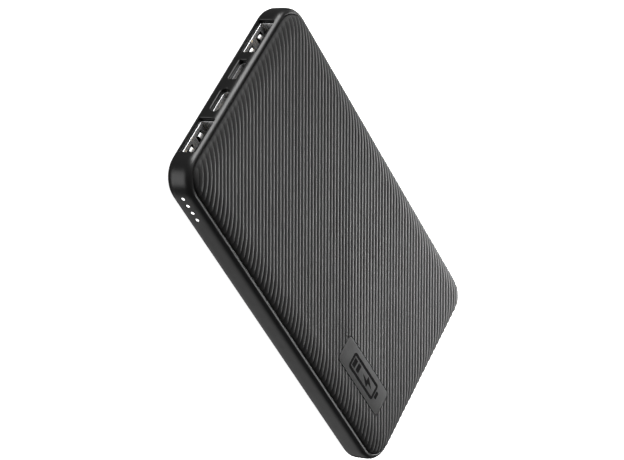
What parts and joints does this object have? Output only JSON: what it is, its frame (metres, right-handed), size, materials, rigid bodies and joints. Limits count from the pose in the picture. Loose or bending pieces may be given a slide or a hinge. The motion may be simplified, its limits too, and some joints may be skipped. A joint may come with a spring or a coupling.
{
  "type": "power bank",
  "caption": "Slim rectangular battery pack with a diagonally ribbed pillow-shaped cover, charging sockets in one end, level lights in one side and a push button in the other.",
  "frame": {"origin": "on the flat back face, under the middle of the case", "axes": "+Z out through the ribbed front cover, +Y along the length away from the ports, +X towards the side with the level lights"},
  "size_m": [0.075, 0.1404, 0.0126],
  "materials": {
    "case_plastic": "fine matte grain",
    "cover_plastic": "satin, ribbed diagonally",
    "connector_steel": "bright plated sheet",
    "screw_steel": "zinc plated",
    "insulator": "moulded, matte",
    "contact_gold": "gold flash",
    "nickel": "plain nickel strip",
    "clear_guide": "clear, polished",
    "led_body": "milky white",
    "circuit_board": "green solder mask",
    "chip_epoxy": "moulded epoxy",
    "ferrite": "pressed powder",
    "ceramic": "fired ceramic",
    "cell_pouch": "laminated foil, satin",
    "foam_tape": "foam",
    "red_wire": "smooth insulation",
    "black_wire": "smooth insulation"
  },
  "bodies": {
    "case": {"back_pad": "foam_tape", "board_screw_1": "screw_steel", "board_screw_2": "screw_steel", "board_screw_3": "screw_steel", "capacitor_1": "ceramic", "capacitor_2": "ceramic", "cell_lower": "cell_pouch", "cell_lower_tab_minus": "nickel", "cell_lower_tab_plus": "nickel", "cell_upper": "cell_pouch", "cell_upper_tab_minus": "nickel", "cell_upper_tab_plus": "nickel", "charge_chip": "chip_epoxy", "front_cover": "cover_plastic", "front_pad_1": "foam_tape", "front_pad_2": "foam_tape", "lead_black": "black_wire", "lead_red": "red_wire", "level_led_1": "led_body", "level_led_2": "led_body", "level_led_3": "led_body", "level_led_4": "led_body", "light_guide": "clear_guide", "main_board": "circuit_board", "micro_usb_shell": "connector_steel", "micro_usb_tongue": "insulator", "middle_tape": "foam_tape", "output_chip": "chip_epoxy", "power_inductor": "ferrite", "protection_board": "circuit_board", "protection_chip_1": "chip_epoxy", "protection_chip_2": "chip_epoxy", "rear_shell": "case_plastic", "switch_body": "chip_epoxy", "usb_a_contact_1_1": "contact_gold", "usb_a_contact_1_2": "contact_gold", "usb_a_contact_1_3": "contact_gold", "usb_a_contact_1_4": "contact_gold", "usb_a_contact_2_1": "contact_gold", "usb_a_contact_2_2": "contact_gold", "usb_a_contact_2_3": "contact_gold", "usb_a_contact_2_4": "contact_gold", "usb_a_shell_1": "connector_steel", "usb_a_shell_2": "connector_steel", "usb_a_tongue_1": "insulator", "usb_a_tongue_2": "insulator", "usb_c_shell": "connector_steel", "usb_c_tongue": "insulator"},
    "button": {"button_cap": "case_plastic"},
    "plunger": {"switch_plunger": "case_plastic"}
  },
  "joints": [
    {"name": "button_press", "type": "slide", "parent": "case", "child": "button", "axis": [1, 0, 0], "range_m": [0, 0.0003], "stiffness_N_per_m": 500},
    {"name": "plunger_press", "type": "slide", "parent": "case", "child": "plunger", "axis": [1, 0, 0], "range_m": [0, 0.0003]}
  ],
  "couplings": [
    {"joint": "plunger_press", "follows": "button_press", "ratio": 1}
  ]
}
